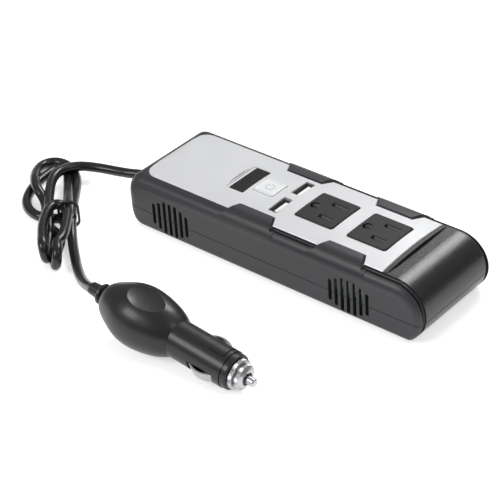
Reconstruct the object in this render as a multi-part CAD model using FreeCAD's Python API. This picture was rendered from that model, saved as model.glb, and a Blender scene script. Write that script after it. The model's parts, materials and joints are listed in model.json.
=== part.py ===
"""Pocket power inverter with two mains sockets, two USB ports, a display and a 12 V vehicle plug.

Frame: +X runs along the case from the cord end to the rounded end cap, +Z is up, and the origin is
under the middle of the case, on the surface that its feet stand on. Millimetres.
"""
import FreeCAD, Part
import math
import os

Vec = FreeCAD.Vector

# ---------------------------------------------------------------- driving dimensions: the case
CASE_L = 203.0             # case length over both rounded ends
CASE_W = 65.0              # case width
FOOT_PROUD = 0.8           # how far the rubber feet stand out of the underside
FLAT_TOP = FOOT_PROUD + 32.6      # level of the flat end cap and shoulders
CROWN_TOP = FOOT_PROUD + 34.6     # highest line of the crowned face plate
PART_Z = FOOT_PROUD + 12.2        # parting plane between the two shells
CREASE_Z = FOOT_PROUD + 24.3      # lower edge of the armour strips
WALL = 2.0                 # shell wall
CEILING_Z = FLAT_TOP - 3.0        # underside of the upper shell's roof
NOSE_R = 14.4              # big radius over the cord end
NOSE_BLEND_R = 8.0         # eases that radius into the flat top
HEEL_R = 10.0              # lower radius at the cord end
CAP_R = 18.0               # big radius of the end cap
TOE_R = 3.5                # lower corner of the end cap
SHOULDER_R = 6.5           # rounding of the long upper edges
SKIRT_R = 3.0              # rounding of the long lower edges
LEFT = -CASE_L / 2
RIGHT = CASE_L / 2
HALF_W = CASE_W / 2
NOSE_C = (LEFT + NOSE_R, CROWN_TOP - NOSE_R)
CAP_C = (RIGHT - CAP_R, FLAT_TOP - CAP_R)

# ---------------------------------------------------------------- driving dimensions: the face
PLATE_X0, PLATE_X1 = -91.5, 74.0
PLATE_HALF_W = 26.5
PLATE_EDGE_Z = CROWN_TOP - 1.65   # plate top along its long edges
PLATE_SEAT_Z = FLAT_TOP - 1.4     # floor of the plate's recess
PLATE_CORNER_R = 7.0
CROWN_R = (PLATE_HALF_W ** 2 + (CROWN_TOP - PLATE_EDGE_Z) ** 2) / (2 * (CROWN_TOP - PLATE_EDGE_Z))
FIT_GAP = 0.15             # gap between parts let into each other
NOTCHES = ((-29.5, 1.5), (31.8, 62.2))    # where the armour reaches into the plate's edge
NOTCH_SLANT = 3.3
NOTCH_IN_Y = 20.2          # inner edge of the notches, from the middle line
PAD_RISE = 1.6             # armour pads above the flat shoulder
PAD_SHOULDER_R = 8.0
LEDGE_Y = (26.7, 28.1, 29.6)      # plate edge, first terrace, armour edge
LEDGE_Z = (FLAT_TOP - 0.8, FLAT_TOP - 1.9)
STRIP_T = 1.2              # armour strip thickness
FRAME_BAR_W = 2.7          # dark bar between the plate and the end cap

OUTLET_X = (18.0, 52.9)
OUTLET_SIZE = (25.5, 26.0)
OUTLET_CORNER_R = 1.8
OUTLET_TOP_Z = CROWN_TOP + 0.35
OUTLET_SKIRT_Z = 21.0
BLADE_SPACING = 12.7       # between the two blade slots
BLADE_DX = 3.6             # blade slots' centre from the socket's centre
GROUND_OFFSET = 11.9       # ground hole from the blades' line
NEUTRAL_SLOT = (9.2, 2.3)
HOT_SLOT = (7.8, 2.3)
GROUND_R = 2.8
USB_X = -6.5
USB_Y = 9.8
USB_OPENING = (5.9, 14.45)
USB_SHELL = (5.6, 13.1)
BUTTON_X = -21.7
BUTTON_SIZE = 13.5
BUTTON_GAP = 0.3
WINDOW_X = -36.3
WINDOW_SIZE = (9.9, 24.4)

# ---------------------------------------------------------------- driving dimensions: vents and inside
VENT_X = (-68.5, 56.0)
VENT_PITCH = 4.03
VENT_W = 2.2
VENT_MID_Z = FOOT_PROUD + 12.6
VENT_LENGTHS = (13.4, 17.3, 20.8, 20.8, 20.8, 17.3, 13.4)
BOARD_Z = 6.0
BOARD_T = 1.6
CONTROL_Z = 19.0
CASE_SCREWS = [(sx * 86.0, sy * 20.5) for sx in (-1, 1) for sy in (-1, 1)]
BOARD_POSTS = [(x, sy * 22.0) for x in (-76.0, 62.5) for sy in (-1, 1)]
CONTROL_POSTS = [(x, sy * 21.0) for x in (-46.5, -0.8) for sy in (-1, 1)]
FOOT_SPOTS = [(sx * 68.0, sy * 24.0) for sx in (-1, 1) for sy in (-1, 1)]
FOOT_R = 4.5
FAN_X = (70.0, 78.0)
FAN_SIZE = 25.0
FAN_Z = 16.6
FAN_BORE_R = 11.7

# ---------------------------------------------------------------- driving dimensions: cord and plug
CORD_D = 5.8
CORD_R = CORD_D / 2
GLAND_Z = 8.8
GLAND_NECK_R = 3.4
GLAND_END_X = LEFT - 11.0
PLUG_ORIGIN = (-44.0, -112.0)     # where the cord enters the plug's collar
PLUG_TILT = 6.35           # nose down, resting on the bulb and the nose's front edge
PLUG_ROLL = 20.0           # turned about its own axis as it lies
BULB_PROFILE = ((5.4, 8.6), (11.5, 12.3), (20.5, 15.9), (29.5, 16.9), (38.5, 15.8), (45.5, 14.0), (53.0, 10.3))
BULB_START = (2.8, 5.4)    # station and radius of the bulb's rear rim
BULB_BORE_R = 8.0
BARREL_R = 10.2
BARREL_END = 87.9
RING_END = BARREL_END + 3.7
RING_R = 9.8
CONTACT_S = (67.4, 83.0)
CONTACT_W = 6.4
CONTACT_PROUD = 1.4
NUT_THREAD_R = 5.9
TIP_R = 2.35
TIP_END = RING_END + 12.0
NUT_BORE_S = BARREL_END - 8.3      # where the nose's bore widens for the nut and the tip
FUSE_END = NUT_BORE_S - 0.3
THUMB_SPOT = (36.5, 15.5, 18.0)    # middle of the thumb dish: station, turn about the axis, height
THUMB_HALF = (18.0, 13.6, 3.7)     # half axes of the thumb dish

# route of the cord's middle line, from the gland to the hank and from the hank to the plug
LEAD_ROUTE = (
    (-108.0, 0.0, 8.8), (-117.0, 0.0, 8.8), (-127.0, -3.1, 7.8), (-137.5, -5.1, 6.8), (-149.0, -8.5, 6.6),
    (-158.3, -14.9, 7.6),
)
TAIL_ROUTE = (
    (-124.5, -55.3, 7.1), (-117.0, -63.2, 4.6), (-108.5, -70.9, 3.2), (-99.0, -79.0, 3.0), (-89.2, -86.9, 3.5),
    (-79.0, -94.4, 5.8), (-69.3, -100.7, 9.7), (-60.3, -106.0, 14.3), (-52.3, -110.3, 18.6),
    (-44.0, -112.0, 20.2),
)
HANK_C = (-137.0, -58.0)
HANK_TURN = -45.6          # the hank's long axis, from +X
TIE_U = (7.2, 8.8)         # the tie's place along the hank's axis
TIE_V = (3.6, 16.0)
TIE_Z = (0.8, 18.0)
TIE_T = 1.4


# ---------------------------------------------------------------- small helpers
def box(x0, x1, y0, y1, z0, z1):
    """Box between two corners."""
    return Part.makeBox(x1 - x0, y1 - y0, z1 - z0, Vec(x0, y0, z0))


def rod(x, y, z0, z1, radius):
    """Upright cylinder."""
    return Part.makeCylinder(radius, z1 - z0, Vec(x, y, z0), Vec(0, 0, 1))


def rod_x(x0, x1, y, z, radius):
    """Cylinder along X."""
    return Part.makeCylinder(radius, x1 - x0, Vec(x0, y, z), Vec(1, 0, 0))


def line(a, b):
    return Part.LineSegment(Vec(*a), Vec(*b)).toShape()


def join(shapes):
    """One solid, or one group of solids, out of many."""
    first = shapes[0]
    return first.multiFuse(shapes[1:]) if len(shapes) > 1 else first


def rounded_prism(cx, cy, size, z0, z1, radius):
    """Upright block with rounded upright edges."""
    block = box(cx - size[0] / 2, cx + size[0] / 2, cy - size[1] / 2, cy + size[1] / 2, z0, z1)
    upright = [e for e in block.Edges if abs(e.tangentAt(e.FirstParameter).z) > 0.9]
    return block.makeFillet(radius, upright)


def mirror_y(shape):
    return shape.mirror(Vec(0, 0, 0), Vec(0, 1, 0))


def export(name, shape):
    """Write one sub-part and report its size."""
    clean = shape.removeSplitter()
    clean.exportStep("parts/%s.step" % name)
    print("%-20s solids %2d  valid %s  volume %.1f" % (name, len(clean.Solids), clean.isValid(), clean.Volume))


# ---------------------------------------------------------------- the case's outer form
def arc_xz(centre, radius, deg0, deg1):
    """Arc in the plane y = 0, given by its centre (x, z) and two angles."""
    points = []
    for deg in (deg0, (deg0 + deg1) / 2, deg1):
        a = math.radians(deg)
        points.append(Vec(centre[0] + radius * math.cos(a), 0, centre[1] + radius * math.sin(a)))
    return Part.Arc(*points).toShape()


def inner_circle(centre, radius, small_r, level, side):
    """Centre of a circle that touches a level line and a bigger circle from inside, and the touch angle."""
    dz = level - centre[1]
    dx = side * math.sqrt((radius - small_r) ** 2 - dz ** 2)
    return (centre[0] + dx, level), math.degrees(math.atan2(dz, dx))


def side_outline(inset):
    """Side view of the case, drawn in by inset all round."""
    blend_c, blend_deg = inner_circle(NOSE_C, NOSE_R, NOSE_BLEND_R, FLAT_TOP - NOSE_BLEND_R, -1)
    toe_c, toe_deg = inner_circle(CAP_C, CAP_R, TOE_R, FOOT_PROUD + TOE_R, 1)
    heel_c = (LEFT + HEEL_R, FOOT_PROUD + HEEL_R)
    low, high = FOOT_PROUD + inset, FLAT_TOP - inset
    edges = [
        arc_xz(heel_c, HEEL_R - inset, 270, 180),
        line((LEFT + inset, 0, heel_c[1]), (LEFT + inset, 0, NOSE_C[1])),
        arc_xz(NOSE_C, NOSE_R - inset, 180, blend_deg),
        arc_xz(blend_c, NOSE_BLEND_R - inset, blend_deg, 90),
        line((blend_c[0], 0, high), (CAP_C[0], 0, high)),
        arc_xz(CAP_C, CAP_R - inset, 90, toe_deg),
        arc_xz(toe_c, TOE_R - inset, toe_deg, -90),
        line((toe_c[0], 0, low), (heel_c[0], 0, low)),
    ]
    return Part.Wire(edges)


def case_form(inset):
    """Solid form of the case, drawn in by inset, with its long edges rounded."""
    half_w = HALF_W - inset
    slab = Part.Face(side_outline(inset))
    slab.translate(Vec(0, -half_w, 0))
    block = slab.extrude(Vec(0, 2 * half_w, 0))
    big, small = SHOULDER_R - inset, SKIRT_R - 0.75 * inset

    def radius_at(z):
        return small if z < FOOT_PROUD + inset + 1.5 else big

    document = FreeCAD.newDocument("form")
    base = document.addObject("Part::Feature", "base")
    base.Shape = block
    rounded = document.addObject("Part::Fillet", "rounded")
    rounded.Base = base
    radii = []
    for number, edge in enumerate(base.Shape.Edges, 1):
        ends = [edge.valueAt(edge.FirstParameter), edge.valueAt(edge.LastParameter)]
        if all(abs(abs(p.y) - half_w) < 1e-6 for p in ends) and abs(ends[0].y - ends[1].y) < 1e-6:
            radii.append((number, radius_at(ends[0].z), radius_at(ends[1].z)))
    rounded.Edges = radii
    document.recompute()
    form = rounded.Shape.copy()
    FreeCAD.closeDocument(document.Name)
    return form


def crown_form(drop, x0, x1, half_w, z0):
    """Slice of the crowned top between two x, its surface lowered by drop."""
    top = CROWN_TOP - drop
    edge_z = top - (CROWN_R - math.sqrt(CROWN_R ** 2 - half_w ** 2))
    arch = Part.Arc(Vec(x0, -half_w, edge_z), Vec(x0, 0, top), Vec(x0, half_w, edge_z)).toShape()
    edges = [
        arch,
        line((x0, half_w, edge_z), (x0, half_w, z0)),
        line((x0, half_w, z0), (x0, -half_w, z0)),
        line((x0, -half_w, z0), (x0, -half_w, edge_z)),
    ]
    return Part.Face(Part.Wire(edges)).extrude(Vec(x1 - x0, 0, 0))


# ---------------------------------------------------------------- armour strips and face outline
def notch_points(notch, grow):
    """Plan corners of one notch on the +Y side, grown outwards by grow."""
    x0, x1 = notch[0] - grow, notch[1] + grow
    inner = NOTCH_IN_Y - grow
    return [(x0, PLATE_HALF_W), (x0 + NOTCH_SLANT, inner), (x1 - NOTCH_SLANT, inner), (x1, PLATE_HALF_W)]


def pad(notch):
    """Raised armour pad on the +Y side, ends and inner side sloped, outer side rolled over the shoulder."""
    x0, x1 = notch
    top, wall_z = FLAT_TOP + PAD_RISE, FLAT_TOP + PAD_RISE - PAD_SHOULDER_R
    mid = math.radians(45)
    roll_c = (HALF_W - PAD_SHOULDER_R, wall_z)
    roll_mid = (roll_c[0] + PAD_SHOULDER_R * math.cos(mid), roll_c[1] + PAD_SHOULDER_R * math.sin(mid))
    inner_y = NOTCH_IN_Y + PAD_RISE / 2
    base_z = PLATE_SEAT_Z + 0.3
    wall_y = HALF_W - STRIP_T
    section = [
        Part.Arc(Vec(0, HALF_W, wall_z), Vec(0, *roll_mid), Vec(0, roll_c[0], top)).toShape(),
        line((0, roll_c[0], top), (0, inner_y, top)),
        line((0, inner_y, top), (0, NOTCH_IN_Y + FIT_GAP, base_z)),
        line((0, NOTCH_IN_Y + FIT_GAP, base_z), (0, wall_y - 3.3, base_z)),
        line((0, wall_y - 3.3, base_z), (0, wall_y, base_z - 3.3)),
        line((0, wall_y, base_z - 3.3), (0, wall_y, wall_z)),
        line((0, wall_y, wall_z), (0, HALF_W, wall_z)),
    ]
    bar = Part.Face(Part.Wire(section)).extrude(Vec(x1 - x0 + 20, 0, 0))
    bar.translate(Vec(x0 - 10, 0, 0))
    lower = [Vec(x, y, PLATE_SEAT_Z) for x, y in pad_corners(notch, 0)]
    upper = [Vec(x, y, top + 1) for x, y in pad_corners(notch, -(top + 1 - PLATE_SEAT_Z) * 0.55)]
    rings = [Part.makePolygon(corners + corners[:1]) for corners in (lower, upper)]
    frustum = Part.makeLoft(rings, True, True)
    skirt = box(x0 - 3, x1 + 3, HALF_W - 4, HALF_W + 1, wall_z - 1, PLATE_SEAT_Z)
    return bar.common(frustum.fuse(skirt))


def pad_corners(notch, grow):
    """Plan corners of a pad, carried out past the wall."""
    x0, x1 = notch[0] - grow, notch[1] + grow
    slope = NOTCH_SLANT / (PLATE_HALF_W - NOTCH_IN_Y)
    reach = (HALF_W + 2 - PLATE_HALF_W) * slope * 0.4
    inner = NOTCH_IN_Y - 1
    return [(x0 + NOTCH_SLANT, inner), (x1 - NOTCH_SLANT, inner), (x1, PLATE_HALF_W),
            (x1 + reach, HALF_W + 2), (x0 - reach, HALF_W + 2), (x0, PLATE_HALF_W)]


def ledge_spans():
    """The stretches of x where a stepped ledge shows between plate and armour."""
    return ((NOTCHES[0][1], NOTCHES[1][0]), (NOTCHES[1][1], CAP_C[0] + 4))


def ledge_cut(extra):
    """Room above the two terraces on the +Y side, carried extra mm outwards."""
    cuts = []
    for x0, x1 in ledge_spans():
        x0 = x0 + 0.6
        x1 = x1 - 0.6 if x1 < NOTCHES[1][1] else x1
        cuts.append(box(x0, x1, LEDGE_Y[0], LEDGE_Y[1] + 0.01, LEDGE_Z[0], CROWN_TOP))
        cuts.append(box(x0, x1, LEDGE_Y[1], LEDGE_Y[2] + extra, LEDGE_Z[1], CROWN_TOP))
    return join(cuts)


def cap_ledge():
    """The two terraces on the +Y side carried round the end cap, down to the underside."""
    start, end = CAP_C[0] + 3.9, RIGHT + 2
    cuts = []
    for y0, y1, drop in ((LEDGE_Y[0], LEDGE_Y[1] + 0.01, FLAT_TOP - LEDGE_Z[0]),
                         (LEDGE_Y[1], LEDGE_Y[2], FLAT_TOP - LEDGE_Z[1])):
        slab = Part.Face(side_outline(drop))
        slab.translate(Vec(0, y0 - 1, 0))
        slab = slab.extrude(Vec(0, y1 - y0 + 2, 0))
        cuts.append(box(start, end, y0, y1, FOOT_PROUD + 3.0, CROWN_TOP).cut(slab))
    return join(cuts)


def armour_strip(form, core):
    """Shoulder strip on the +Y side with its two raised pads."""
    inner = box(LEFT + 12, CAP_C[0] + 8, PLATE_HALF_W + FIT_GAP, HALF_W + 1, CREASE_Z, CROWN_TOP)
    strip = form.cut(core).common(inner)
    strip = strip.cut(ledge_cut(0.0))
    whole = join([strip] + [pad(n) for n in NOTCHES])
    whole = whole.cut(cap_ledge())
    return max(whole.Solids, key=lambda s: s.Volume)


def plate_outline_wire(z, grow):
    """Plan outline of the face plate with its four notches, grown outwards by grow."""
    x0, x1, y1 = PLATE_X0 - grow, PLATE_X1 + grow, PLATE_HALF_W + grow
    r = PLATE_CORNER_R + grow
    far = []
    for notch in NOTCHES:
        points = notch_points(notch, -grow)
        points[0] = (points[0][0], y1)
        points[-1] = (points[-1][0], y1)
        far += points
    near = [(x, -y) for x, y in reversed(far)]
    corners = [(x0 + r, y1)] + far + [(x1, y1), (x1, -y1)] + near + [(x0 + r, -y1)]
    edges = [line((*a, z), (*b, z)) for a, b in zip(corners, corners[1:])]
    k = r * (1 - math.sqrt(0.5))
    edges.append(Part.Arc(Vec(x0 + r, -y1, z), Vec(x0 + k, -y1 + k, z), Vec(x0, -y1 + r, z)).toShape())
    edges.append(line((x0, -y1 + r, z), (x0, y1 - r, z)))
    edges.append(Part.Arc(Vec(x0, y1 - r, z), Vec(x0 + k, y1 - k, z), Vec(x0 + r, y1, z)).toShape())
    return Part.Wire(edges)


def plate_prism(z0, z1, grow):
    return Part.Face(plate_outline_wire(z0, grow)).extrude(Vec(0, 0, z1 - z0))


# ---------------------------------------------------------------- shells
def vent_cuts():
    """All vent slots of both groups, through both side walls."""
    slots = []
    for group_x in VENT_X:
        for number, length in enumerate(VENT_LENGTHS):
            x = group_x + (number - (len(VENT_LENGTHS) - 1) / 2) * VENT_PITCH
            slots.append(vent_slot(x, length))
    far = join(slots)
    return far.fuse(mirror_y(far))


def vent_slot(x, length):
    """One upright slot with round ends through the +Y wall."""
    r = VENT_W / 2
    z0, z1 = VENT_MID_Z - length / 2 + r, VENT_MID_Z + length / 2 - r
    y0, y1 = HALF_W - WALL - 2, HALF_W + 1
    edges = [
        line((x - r, y0, z0), (x - r, y0, z1)),
        Part.Arc(Vec(x - r, y0, z1), Vec(x, y0, z1 + r), Vec(x + r, y0, z1)).toShape(),
        line((x + r, y0, z1), (x + r, y0, z0)),
        Part.Arc(Vec(x + r, y0, z0), Vec(x, y0, z0 - r), Vec(x - r, y0, z0)).toShape(),
    ]
    return Part.Face(Part.Wire(edges)).extrude(Vec(0, y1 - y0, 0))


def roof_openings():
    """Openings in the upper shell's roof for everything that shows in the face plate."""
    z0, z1 = CEILING_Z - 1, CROWN_TOP + 1
    cuts = []
    for x in OUTLET_X:
        cutout = (OUTLET_SIZE[0] + 0.6, OUTLET_SIZE[1] + 0.6)
        cuts.append(rounded_prism(x, 0, cutout, z0, z1, OUTLET_CORNER_R))
    for sy in (-1, 1):
        cutout = (USB_OPENING[0] + 0.4, USB_OPENING[1] + 0.4)
        cuts.append(rounded_prism(USB_X, sy * USB_Y, cutout, z0, z1, 0.8))
    cuts.append(rounded_prism(BUTTON_X, 0, (BUTTON_SIZE + 3.2, BUTTON_SIZE + 3.2), z0, z1, 1.5))
    cuts.append(rounded_prism(WINDOW_X, 0, (WINDOW_SIZE[0] + 2.6, WINDOW_SIZE[1] + 2.6), z0, z1, 1.5))
    return join(cuts)


def upper_shell(form, cavity, vents, strips):
    """Upper shell: roof, end cap and upper walls, with bosses for the case and control board screws."""
    shell = form.common(box(LEFT - 1, RIGHT + 1, -HALF_W - 1, HALF_W + 1, PART_Z, CROWN_TOP + 1))
    shell = shell.cut(cavity.common(box(LEFT, RIGHT, -HALF_W, HALF_W, 0, CEILING_Z)))
    inside = case_form(WALL - 0.3)
    bosses = [rod(x, y, PART_Z, CEILING_Z + 0.5, 3.2) for x, y in CASE_SCREWS]
    bosses += [rod(x, y, CONTROL_Z + BOARD_T, CEILING_Z + 0.5, 2.6) for x, y in CONTROL_POSTS]
    bar_x0 = PLATE_X1 + FIT_GAP
    bar = crown_form(FIT_GAP, bar_x0, bar_x0 + FRAME_BAR_W, PLATE_HALF_W, FLAT_TOP - 0.5)
    shell = join([shell, join(bosses).common(inside), bar])
    shell = shell.cut(plate_prism(PLATE_SEAT_Z, CROWN_TOP + 1, FIT_GAP))
    ledge = ledge_cut(0.0)
    pilots = [rod(x, y, PART_Z - 1, PART_Z + 9, 1.05) for x, y in CASE_SCREWS]
    pilots += [rod(x, y, CONTROL_Z, CONTROL_Z + BOARD_T + 6, 0.85) for x, y in CONTROL_POSTS]
    rim = cap_ledge()
    cuts = [roof_openings(), vents, ledge, mirror_y(ledge), rim, mirror_y(rim), join(pilots)] + strips
    for cut in cuts:
        shell = shell.cut(cut)
    return max(shell.Solids, key=lambda s: s.Volume)


def lower_shell(form, cavity, vents):
    """Lower shell: floor and lower walls, with screw pillars, board posts, fan cradle and cord entry."""
    low_box = box(LEFT - 1, RIGHT + 1, -HALF_W - 1, HALF_W + 1, 0, PART_Z)
    shell = form.common(low_box).cut(cavity.common(low_box))
    floor_z = FOOT_PROUD + WALL
    extras = [rod(x, y, FOOT_PROUD + 0.5, PART_Z, 4.0) for x, y in CASE_SCREWS]
    extras += [rod(x, y, floor_z - 0.5, BOARD_Z, 2.8) for x, y in BOARD_POSTS]
    cradle_z = FAN_Z - FAN_SIZE / 2
    extras.append(box(FAN_X[0], FAN_X[1], -FAN_SIZE / 2, FAN_SIZE / 2, floor_z - 0.5, cradle_z))
    shell = join([shell, join(extras).common(case_form(WALL - 0.3))])
    seam = form.cut(case_form(0.35)).common(box(LEFT - 1, RIGHT + 1, -40, 40, PART_Z - 0.35, PART_Z))
    cuts = [vents, seam, rod_x(LEFT - 2, LEFT + WALL + 3, 0, GLAND_Z, GLAND_NECK_R)]
    cuts += [rod(x, y, 0, PART_Z + 1, 1.6) for x, y in CASE_SCREWS]
    cuts += [rod(x, y, 0, FOOT_PROUD + 2.6, 3.1) for x, y in CASE_SCREWS]
    cuts += [rod(x, y, floor_z + 0.4, BOARD_Z + 1, 0.95) for x, y in BOARD_POSTS]
    cuts += [rod(x, y, 0, FOOT_PROUD + 0.8, FOOT_R + 0.1) for x, y in FOOT_SPOTS]
    rim = cap_ledge()
    cuts += [rim, mirror_y(rim)]
    for cut in cuts:
        shell = shell.cut(cut)
    return max(shell.Solids, key=lambda s: s.Volume)


# ---------------------------------------------------------------- face plate and what shows in it
def face_plate():
    """Crowned light plate with openings for sockets, ports, button and display."""
    plate = plate_prism(PLATE_SEAT_Z, CROWN_TOP + 2, 0)
    plate = plate.common(crown_form(0, PLATE_X0 - 1, PLATE_X1 + 1, PLATE_HALF_W + 1, PLATE_SEAT_Z - 1))
    nose = Part.makeCylinder(NOSE_R, 2 * HALF_W, Vec(NOSE_C[0], -HALF_W, NOSE_C[1]), Vec(0, 1, 0))
    nose = nose.fuse(box(NOSE_C[0], PLATE_X1 + 2, -HALF_W, HALF_W, 10, CROWN_TOP + 3))
    plate = plate.common(nose)
    z0, z1 = PLATE_SEAT_Z - 1, CROWN_TOP + 2
    cuts = []
    for x in OUTLET_X:
        cutout = (OUTLET_SIZE[0] + 0.6, OUTLET_SIZE[1] + 0.6)
        cuts.append(rounded_prism(x, 0, cutout, z0, z1, OUTLET_CORNER_R))
    for sy in (-1, 1):
        cuts.append(rounded_prism(USB_X, sy * USB_Y, USB_OPENING, z0, z1, 0.5))
    cuts.append(rounded_prism(BUTTON_X, 0, (BUTTON_SIZE + 2 * BUTTON_GAP,) * 2, z0, z1, 1.2))
    cuts.append(rounded_prism(WINDOW_X, 0, (WINDOW_SIZE[0] + 0.3, WINDOW_SIZE[1] + 0.3), z0, z1, 0.7))
    ledge_w = WINDOW_SIZE[0] + 2.2
    cuts.append(rounded_prism(WINDOW_X - 0.8, 0, (ledge_w, WINDOW_SIZE[1] + 0.6), CROWN_TOP - 0.75, z1, 0.9))
    plate = plate.cut(join(cuts))
    rim = [e for e in plate.Edges if outer_top_edge(e)]
    return plate.makeChamfer(0.3, rim)


def outer_top_edge(edge):
    """True for an edge of the plate's outline that lies in its crowned surface."""
    for p in (edge.valueAt(edge.FirstParameter), edge.valueAt(edge.LastParameter)):
        crown = CROWN_TOP - (CROWN_R - math.sqrt(CROWN_R ** 2 - p.y ** 2))
        if abs(p.z - crown) > 0.02 or abs(p.y) < 19:
            return False
    return True


def slot_pocket(cx, cy, size, z_top, depth):
    """A straight slot with a wider lead-in at its mouth."""
    lead, lead_depth = 0.6, 0.8
    a, b = size[0] / 2, size[1] / 2
    body = box(cx - a, cx + a, cy - b, cy + b, z_top - depth, z_top + 1)
    mouth_low = Part.makePolygon([Vec(cx + i * a, cy + j * b, z_top - lead_depth) for i, j in
                                  ((-1, -1), (1, -1), (1, 1), (-1, 1), (-1, -1))])
    mouth_high = Part.makePolygon([Vec(cx + i * (a + lead), cy + j * (b + lead), z_top + 0.05) for i, j in
                                   ((-1, -1), (1, -1), (1, 1), (-1, 1), (-1, -1))])
    return body.fuse(Part.makeLoft([mouth_low, mouth_high], True, True))


def outlet_insert(x):
    """Socket face with its slots, and the skirt that goes down into the case."""
    z0, z1 = OUTLET_SKIRT_Z, OUTLET_TOP_Z
    block = rounded_prism(x, 0, OUTLET_SIZE, z0, z1, OUTLET_CORNER_R)
    block = block.makeChamfer(0.45, [e for e in block.Edges if all(abs(v.Z - z1) < 1e-6 for v in e.Vertexes)])
    hollow = (OUTLET_SIZE[0] - 2, OUTLET_SIZE[1] - 2)
    block = block.cut(rounded_prism(x, 0, hollow, z0 - 1, z1 - 2.6, 1.0))
    blades_x = x + BLADE_DX
    pockets = [
        slot_pocket(blades_x, BLADE_SPACING / 2, NEUTRAL_SLOT, z1, 4),
        slot_pocket(blades_x, -BLADE_SPACING / 2, HOT_SLOT, z1, 4),
        rod(blades_x - GROUND_OFFSET, 0, z1 - 4, z1 + 1, GROUND_R),
    ]
    return block.cut(join(pockets))


def outlet_contacts(x):
    """Two blade clips and an earth sleeve, standing on the carrier under one socket face."""
    z0, z1 = OUTLET_SKIRT_Z, OUTLET_TOP_Z - 3.4
    blades_x = x + BLADE_DX
    pieces = []
    for sy, size in ((1, NEUTRAL_SLOT), (-1, HOT_SLOT)):
        cy = sy * BLADE_SPACING / 2
        clip = box(blades_x - size[0] / 2, blades_x + size[0] / 2, cy - 1.5, cy + 1.5, z0, z1)
        gap = box(blades_x - size[0] / 2 - 1, blades_x + size[0] / 2 + 1, cy - 0.9, cy + 0.9, z0 + 1, z1 + 1)
        pieces.append(clip.cut(gap))
    ground_x = blades_x - GROUND_OFFSET
    sleeve = rod(ground_x, 0, z0, z1, GROUND_R + 0.5).cut(rod(ground_x, 0, z0 + 1, z1 + 1, GROUND_R + 0.05))
    slit = box(ground_x - 4, ground_x, -0.5, 0.5, z0 + 2, z1 + 1)
    pieces.append(sleeve.cut(slit))
    return Part.makeCompound(pieces)


def outlet_carrier(x):
    """Plate that closes a socket from below and carries its contacts."""
    plate = rounded_prism(x, 0, (OUTLET_SIZE[0], OUTLET_SIZE[1]), OUTLET_SKIRT_Z - 2.4, OUTLET_SKIRT_Z, 1.6)
    tail_y = BLADE_SPACING / 2
    tails = [rod(x + BLADE_DX, y, OUTLET_SKIRT_Z - 3, OUTLET_SKIRT_Z + 1, 0.8) for y in (-tail_y, tail_y)]
    return plate.cut(join(tails))


def usb_shell(sy):
    """Folded metal shell of one upright USB port."""
    z0, z1 = CONTROL_Z + BOARD_T, CROWN_TOP - 0.9
    outer = rounded_prism(USB_X, sy * USB_Y, USB_SHELL, z0, z1, 0.6)
    inner = rounded_prism(USB_X, sy * USB_Y, (USB_SHELL[0] - 0.6, USB_SHELL[1] - 0.6), z0 - 1, z1 + 1, 0.4)
    return outer.cut(inner)


def usb_tongue(sy):
    """Insulating base and contact tongue inside one USB port."""
    z0, z1 = CONTROL_Z + BOARD_T, CROWN_TOP - 1.2
    base = box(USB_X - 2.45, USB_X + 2.45, sy * USB_Y - 6.2, sy * USB_Y + 6.2, z0, z0 + 3.4)
    tongue = box(USB_X + 0.1, USB_X + 2.0, sy * USB_Y - 5.6, sy * USB_Y + 4.4, z0 + 3, z1)
    return base.fuse(tongue)


def power_button():
    """Square push button with a retaining flange and a stem down to its switch."""
    top = CROWN_TOP + 0.45
    cap = rounded_prism(BUTTON_X, 0, (BUTTON_SIZE, BUTTON_SIZE), PLATE_SEAT_Z - 1.3, top, 1.0)
    cap = cap.makeFillet(0.4, [e for e in cap.Edges if all(abs(v.Z - top) < 1e-6 for v in e.Vertexes)])
    wide = BUTTON_SIZE + 2
    flange = rounded_prism(BUTTON_X, 0, (wide, wide), PLATE_SEAT_Z - 1.3, PLATE_SEAT_Z - 0.3, 1.2)
    stem = rod(BUTTON_X, 0, SWITCH_TOP_Z, PLATE_SEAT_Z - 1, 2.2)
    return join([cap, flange, stem])


SWITCH_TOP_Z = CONTROL_Z + BOARD_T + 5.0


def power_switch():
    """Tact switch body on the control board, with a well for its plunger."""
    z0 = CONTROL_Z + BOARD_T
    body = box(BUTTON_X - 3, BUTTON_X + 3, -3, 3, z0, z0 + 3.6)
    return body.cut(rod(BUTTON_X, 0, z0 + 1.2, z0 + 4, 1.75))


def switch_plunger():
    """Plunger that the button's stem presses."""
    return rod(BUTTON_X, 0, CONTROL_Z + BOARD_T + 2.3, SWITCH_TOP_Z, 1.68)


def display_window():
    """Smoked window over the display."""
    return rounded_prism(WINDOW_X, 0, WINDOW_SIZE, PLATE_SEAT_Z, CROWN_TOP - 0.5, 0.6)


def display_module():
    """Display glass in its frame, with header pins down to the control board."""
    z1 = PLATE_SEAT_Z - 0.05
    block = box(WINDOW_X - 5.8, WINDOW_X + 5.8, -13, 13, z1 - 3.0, z1)
    pins = [rod(WINDOW_X - 4.5, y, CONTROL_Z + BOARD_T, z1 - 2.5, 0.45) for y in (-9, -3, 3, 9)]
    return join([block] + pins)


# ---------------------------------------------------------------- boards and power parts
def control_board():
    """Board that carries the ports, switch and display."""
    board = box(-50.0, 2.6, -24.0, 24.0, CONTROL_Z, CONTROL_Z + BOARD_T)
    return board.cut(join([rod(x, y, CONTROL_Z - 1, CONTROL_Z + 3, 1.2) for x, y in CONTROL_POSTS]))


def main_board():
    """Power board on four posts."""
    board = box(-81.0, 66.0, -26.5, 26.5, BOARD_Z, BOARD_Z + BOARD_T)
    return board.cut(join([rod(x, y, BOARD_Z - 1, BOARD_Z + 3, 1.3) for x, y in BOARD_POSTS]))


TRANSFORMER = (-66.0, 0.0, 24.0, 25.0, 19.0)      # middle x, y, then sizes


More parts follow.
